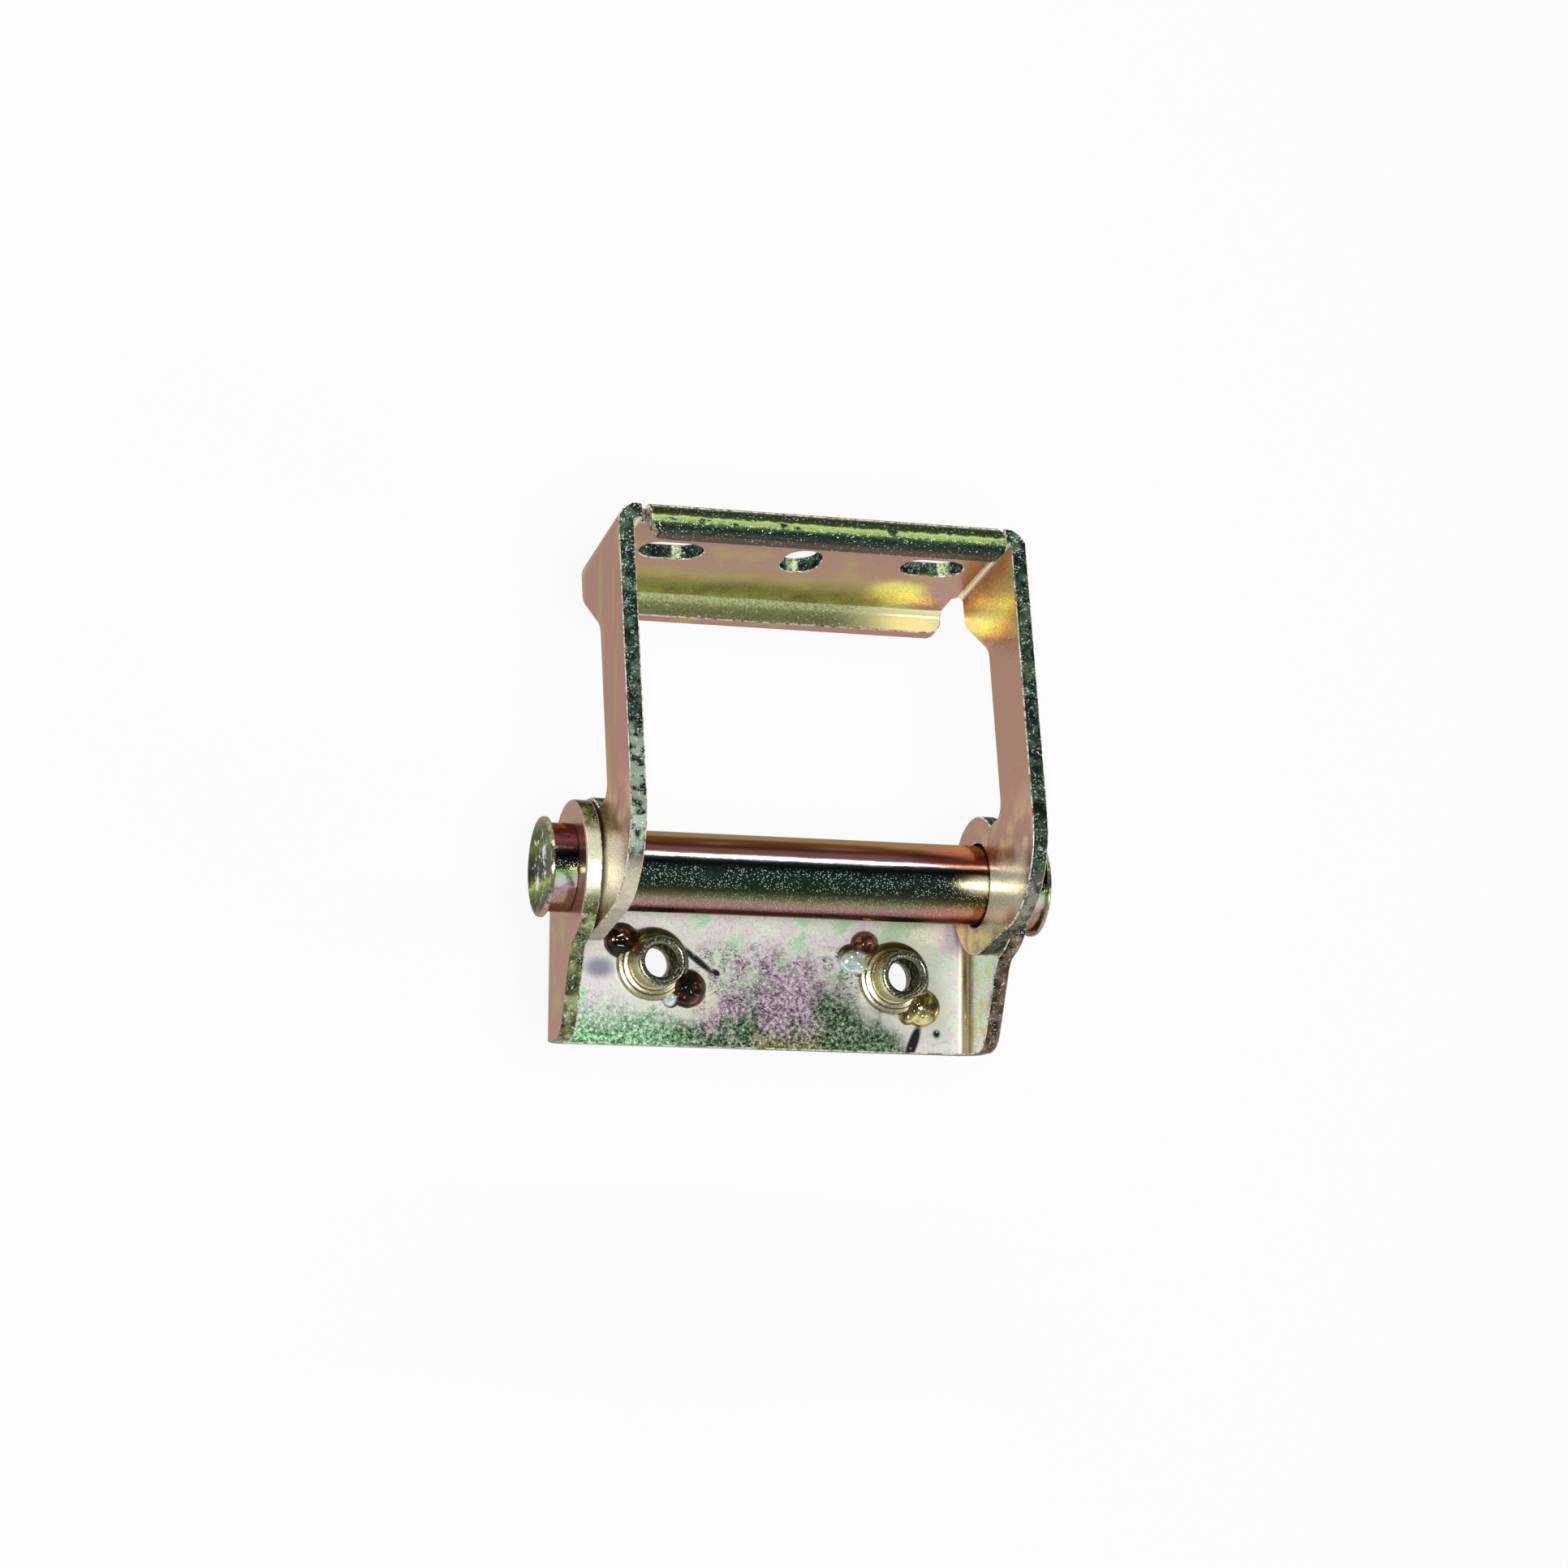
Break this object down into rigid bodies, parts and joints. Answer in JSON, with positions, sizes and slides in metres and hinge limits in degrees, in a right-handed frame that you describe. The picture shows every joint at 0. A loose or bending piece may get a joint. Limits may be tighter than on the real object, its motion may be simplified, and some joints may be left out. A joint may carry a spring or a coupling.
{
  "type": "seat lock mechanism",
  "caption": "Pivoting seat bracket: a stamped yoke with a slotted, lipped web swings on a riveted tube between the ears of a base with weld nuts.",
  "frame": {"origin": "centre of the base plate's back face, which is the mounting surface", "axes": "+X along the pivot axis, +Y from the foot of the base towards the web of the yoke, +Z away from the mounting surface"},
  "size_m": [0.111, 0.1102, 0.0555],
  "materials": {
    "zinc_plate": "yellow chromate zinc plate, iridescent",
    "zinc_tube": "yellow chromate zinc plate, glossy",
    "zinc_turned": "yellow chromate zinc plate, bright",
    "weld": "dark, glossy weld metal under zinc plate"
  },
  "bodies": {
    "root": {"lower_bracket": "zinc_plate", "weld_nut_left": "zinc_turned", "weld_nut_right": "zinc_turned", "weld_bead_left_upper": "weld", "weld_bead_left_lower": "weld", "weld_bead_right_upper": "weld", "weld_bead_right_lower": "weld", "spacer_tube": "zinc_tube", "pivot_rivet": "zinc_turned", "left_collar": "zinc_turned", "right_collar": "zinc_turned"},
    "yoke": {"upper_frame": "zinc_plate"}
  },
  "joints": [
    {"name": "yoke_swing", "type": "hinge", "parent": "root", "child": "yoke", "pos_m": [0, 0.01575, 0.0203], "axis": [1, 0, 0], "range_deg": [-116, 103]}
  ]
}
